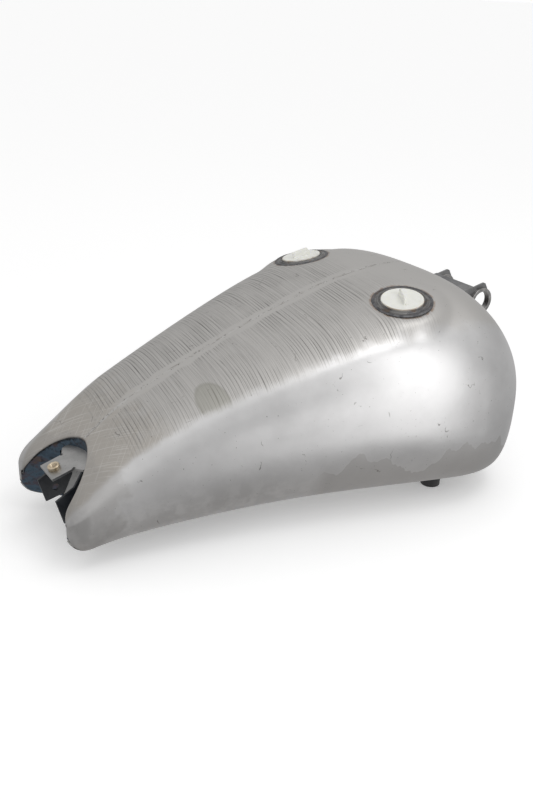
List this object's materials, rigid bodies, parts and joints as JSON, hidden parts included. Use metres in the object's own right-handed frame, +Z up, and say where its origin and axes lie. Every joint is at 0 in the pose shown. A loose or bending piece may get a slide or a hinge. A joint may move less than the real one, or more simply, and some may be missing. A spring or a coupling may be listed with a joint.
{
  "type": "motorcycle fuel tank",
  "caption": "Stretched teardrop fuel tank of bare welded steel with a notched tail, paired filler necks closed by white plugs, an under-side frame tunnel and bolt-on brackets.",
  "frame": {"origin": "centre of the front mounting bolt's axis, midway between the two bushing rings", "axes": "+X forward along the tank towards the nose, +Y to the rider's left along the front bolt's axis, +Z up"},
  "size_m": [0.6395, 0.4046, 0.2737],
  "materials": {
    "bare_sheet": "bare pressed steel sheet with fine sanding lines",
    "ground_weld": "weld ground flush and sanded",
    "inner_sheet": "bare steel sheet, mill finish",
    "heat_tinted_sheet": "bare steel tinted blue and brown by welding heat",
    "raw_weld": "dark rough weld bead",
    "machined_neck": "turned steel, dark with oil",
    "white_plastic": "milky white polyethylene",
    "bracket_plate": "dark pickled steel plate",
    "bracket_ring": "dark turned steel",
    "tongue_plate": "pickled steel plate",
    "plated_insert": "zinc plating with a golden tint",
    "black_coating": "thin black coating with bright cut edges",
    "machined_spigot": "turned steel with a fine outside thread",
    "black_cap": "soft black vinyl"
  },
  "bodies": {
    "tank": {"right_skin": "bare_sheet", "left_skin": "bare_sheet", "top_seam_weld": "ground_weld", "frame_tunnel": "inner_sheet", "right_floor": "inner_sheet", "left_floor": "inner_sheet", "right_rim_weld": "raw_weld", "left_rim_weld": "raw_weld", "notch_wall": "heat_tinted_sheet", "notch_weld": "raw_weld", "right_filler_neck": "machined_neck", "left_filler_neck": "machined_neck", "right_neck_weld": "raw_weld", "left_neck_weld": "raw_weld", "front_bracket": "bracket_plate", "right_bushing_ring": "bracket_ring", "left_bushing_ring": "bracket_ring", "rear_tongue": "tongue_plate", "threaded_insert": "plated_insert", "right_side_tab": "black_coating", "left_side_tab": "black_coating", "right_fuel_spigot": "machined_spigot", "left_fuel_spigot": "machined_spigot"},
    "right_plug": {"right_shipping_plug": "white_plastic"},
    "left_plug": {"left_shipping_plug": "white_plastic"},
    "right_cap": {"right_spigot_cap": "black_cap"},
    "left_cap": {"left_spigot_cap": "black_cap"}
  },
  "joints": [
    {"name": "right_plug_pull", "type": "slide", "parent": "tank", "child": "right_plug", "axis": [-0.1634, -0.1392, 0.9767], "range_m": [0, 0.04]},
    {"name": "left_plug_pull", "type": "slide", "parent": "tank", "child": "left_plug", "axis": [-0.1634, 0.1392, 0.9767], "range_m": [0, 0.04]},
    {"name": "right_cap_pull", "type": "slide", "parent": "tank", "child": "right_cap", "axis": [0, 0, -1], "range_m": [0, 0.03]},
    {"name": "left_cap_pull", "type": "slide", "parent": "tank", "child": "left_cap", "axis": [0, 0, -1], "range_m": [0, 0.03]}
  ]
}
